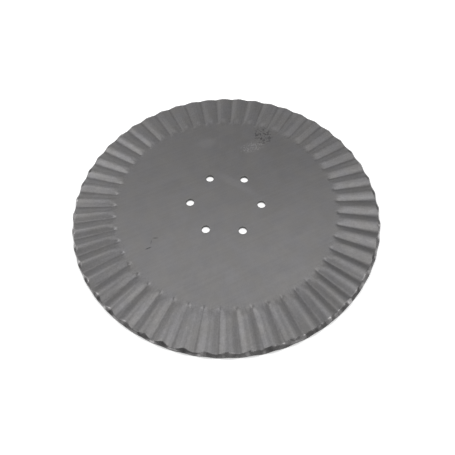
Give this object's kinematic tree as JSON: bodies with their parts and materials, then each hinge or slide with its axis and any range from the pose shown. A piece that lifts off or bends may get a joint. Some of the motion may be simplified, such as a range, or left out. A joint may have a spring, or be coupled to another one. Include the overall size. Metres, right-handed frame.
{
  "type": "fluted coulter disc",
  "caption": "Round fluted steel coulter blade with a flat bolted centre, radial ripples round its outer ring and a ground cutting edge.",
  "frame": {"origin": "centre of the blade, on its axis and at mid-thickness of the plate", "axes": "+Z along the blade's axis, out of the face with the ground bevel; +X through a bolt hole and a flute crest"},
  "size_m": [0.4318, 0.4318, 0.0078],
  "materials": {
    "blade_steel": "dull satin grey heat-treated steel, with faint rolling streaks"
  },
  "bodies": {
    "root": {"coulter_disc": "blade_steel"}
  },
  "joints": []
}
